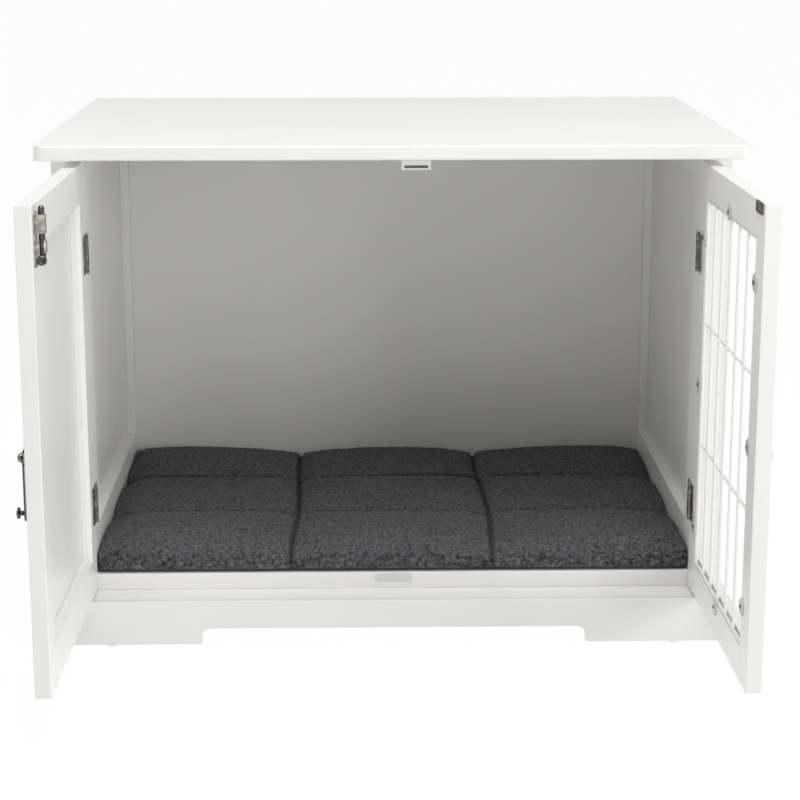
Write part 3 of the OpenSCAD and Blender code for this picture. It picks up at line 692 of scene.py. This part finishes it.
class CRATE_OT_paint(bpy.types.Operator):
    """Paint the boards, panels and wires white"""

    bl_idname = "crate.paint"
    bl_label = "Paint boards and wires"

    def execute(self, context):
        settings = context.scene.crate_paint
        give(nodes_in("painted_board"), board_paint("board_paint", settings.board, settings.grain))
        # Painted shade: a darker copy of the board paint on the plinth
        plinth = shade(settings.board, settings.plinth_painted_shade)
        give(named(PLINTH), board_paint("plinth_paint_painted_shade", plinth, settings.grain))
        give(nodes_in("white_wire"), wire_enamel(settings))
        return {"FINISHED"}


class CRATE_OT_fittings(bpy.types.Operator):
    """Finish the hinges, bolt, latch, strike, clips and glides"""

    bl_idname = "crate.fittings"
    bl_label = "Finish fittings"

    def execute(self, context):
        settings = context.scene.crate_fittings
        plating = nickel_plate("nickel_plate", settings.nickel)
        give(nodes_in("nickel"), plating)
        # Darker and brighter copies of the nickel: painted reflection on the hinge leaves, painted
        # shade on the arm and rod, painted highlight on the bolt's base
        for name, nodes, factor in (("hinge_nickel_painted_reflection", HINGE_LEAVES, settings.hinge_painted_reflection),
                                    ("arm_nickel_painted_shade", PAINTED_SHADE_PIECES, settings.arm_painted_shade),
                                    ("base_nickel_painted_highlight", ("bolt_base",), settings.base_painted_highlight)):
            give(named(nodes), nickel_plate(name, shade(settings.nickel, factor)))
        for node, name in SCREWS.items():
            screws = cut_crosses(node, name, settings)
            give([screws], plating)
            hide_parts(node)
            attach(screws, body_of(node))
        give(nodes_in("dark_steel"), dark_steel(settings))
        give(nodes_in("white_plastic"), moulded_plastic(settings, "white_plastic", 0.4))
        give(nodes_in("clear_plastic"), moulded_plastic(settings, "clear_plastic", 0.3, 0.4))
        give(named(("door_stop_pad",)), moulded_plastic(settings, "clear_pad", 0.3, 0.2))
        return {"FINISHED"}


class CRATE_OT_mat(bpy.types.Operator):
    """Make the quilted fleece mat"""

    bl_idname = "crate.mat"
    bl_label = "Make fleece mat"

    def execute(self, context):
        settings = context.scene.crate_mat
        pad = mat_blank(settings)
        puff_up(pad, settings)
        sew_and_curl(pad, settings)
        keep_in_box(pad)
        pad.data.materials.clear()
        pad.data.materials.append(curly_fleece(settings))
        pad.data.materials.append(backing_cloth_and_shadow_gap(settings))
        # The lowest polygons take the backing: black cloth that is also painted shadow under the
        # rim
        for polygon in pad.data.polygons:
            polygon.material_index = int(polygon.center.z < MAT_LOW.z + settings.backing_and_shadow_gap_height)
        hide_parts("mat")
        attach(pad, "mat")
        return {"FINISHED"}


class CRATE_OT_stage(bpy.types.Operator):
    """Lay the floor, hang the lights and set the camera"""

    bl_idname = "crate.stage"
    bl_label = "Set the stage"

    def execute(self, context):
        settings = context.scene.crate_studio
        scene = context.scene
        scene.view_settings.view_transform = "Standard"
        scene.view_settings.look = "None"
        self.lay_floor(settings)
        self.light(settings)
        camera = bpy.data.objects.new("camera", bpy.data.cameras.new("camera"))
        camera.data.sensor_width = 36.0
        camera.data.lens = settings.lens
        camera.location = settings.eye
        camera.rotation_euler = (math.pi / 2 - settings.pitch, 0.0, -settings.yaw)
        camera.data.clip_end = 200.0
        scene.collection.objects.link(camera)
        scene.camera = camera
        return {"FINISHED"}

    def lay_floor(self, settings):
        """A wide floor that glows like a light table."""
        mesh = bpy.data.meshes.new("studio_floor")
        form = bmesh.new()
        bmesh.ops.create_grid(form, x_segments=8, y_segments=8, size=FLOOR_SIZE)
        form.to_mesh(mesh)
        form.free()
        floor = bpy.data.objects.new("studio_floor", mesh)
        bpy.context.scene.collection.objects.link(floor)
        table = Finish("light_table", settings.floor, 0.9)
        table.put("Specular IOR Level", 0.0)
        table.put("Emission Color", WHITE)
        table.put("Emission Strength", settings.floor_glow)
        give([floor], table.material)

    def light(self, settings):
        """A dome that is bright on both sides and behind, and two large lamps."""
        world = bpy.data.worlds.new("studio_dome")
        world.use_nodes = True
        tree = world.node_tree
        dome = tree.nodes["Background"]
        dome.inputs["Color"].default_value = WHITE
        place = tree.nodes.new("ShaderNodeTexCoord")
        total = None
        for towards, strength in (((0, 0, 1), settings.zenith),
                                  ((1, 0, 0), settings.from_right),
                                  ((-1, 0, 0), settings.from_left),
                                  ((0, 1, 0), settings.from_back)):
            side = tree.nodes.new("ShaderNodeVectorMath")
            side.operation = "DOT_PRODUCT"
            side.inputs[1].default_value = towards
            tree.links.new(place.outputs["Generated"], side.inputs[0])
            share = self.sum(tree, "MAXIMUM", side.outputs["Value"], 0.0)
            share = self.sum(tree, "MULTIPLY", share, strength)
            total = share if total is None else self.sum(tree, "ADD", total, share)
        tree.links.new(total, dome.inputs["Strength"])
        bpy.context.scene.world = world
        self.hang("side_lamp", settings.side_lamp, *SIDE_LAMP)
        self.hang("over_lamp", settings.over_lamp, *OVER_LAMP)

    def sum(self, tree, operation, first, second):
        """One step of arithmetic on the dome's strength."""
        node = tree.nodes.new("ShaderNodeMath")
        node.operation = operation
        tree.links.new(first, node.inputs[0])
        if isinstance(second, float):
            node.inputs[1].default_value = second
        else:
            tree.links.new(second, node.inputs[1])
        return node.outputs["Value"]

    def hang(self, name, power, place, target, size):
        """One square lamp that points at its target."""
        data = bpy.data.lights.new(name, "AREA")
        data.energy = power
        data.size = size
        lamp = bpy.data.objects.new(name, data)
        lamp.location = place
        lamp.rotation_euler = (Vector(target) - Vector(place)).to_track_quat("-Z", "Y").to_euler()
        bpy.context.scene.collection.objects.link(lamp)


class CRATE_PT_panel(bpy.types.Panel):
    """Lists the steps that finish the crate"""

    bl_idname = "CRATE_PT_panel"
    bl_label = "Pet crate"
    bl_space_type = "VIEW_3D"
    bl_region_type = "UI"
    bl_category = "Pet crate"

    def draw(self, context):
        layout = self.layout
        for operator in OPERATORS:
            layout.operator(operator.bl_idname)
        for name, group in GROUPS.items():
            box = layout.box()
            for key in group.__annotations__:
                box.prop(getattr(context.scene, name), key)


OPERATORS = (CRATE_OT_paint, CRATE_OT_fittings, CRATE_OT_mat, CRATE_OT_stage)
GROUPS = {
    "crate_paint": PaintSettings,
    "crate_fittings": FittingSettings,
    "crate_mat": MatSettings,
    "crate_studio": StudioSettings,
}


def register():
    for item in (*GROUPS.values(), *OPERATORS, CRATE_PT_panel):
        bpy.utils.register_class(item)
    for name, group in GROUPS.items():
        setattr(bpy.types.Scene, name, PointerProperty(type=group))


def unregister():
    for name in GROUPS:
        delattr(bpy.types.Scene, name)
    for item in reversed((*GROUPS.values(), *OPERATORS, CRATE_PT_panel)):
        bpy.utils.unregister_class(item)


def main():
    register()
    bpy.ops.crate.stage()
    bpy.ops.crate.paint()
    bpy.ops.crate.fittings()
    bpy.ops.crate.mat()


if __name__ == "__main__":
    main()
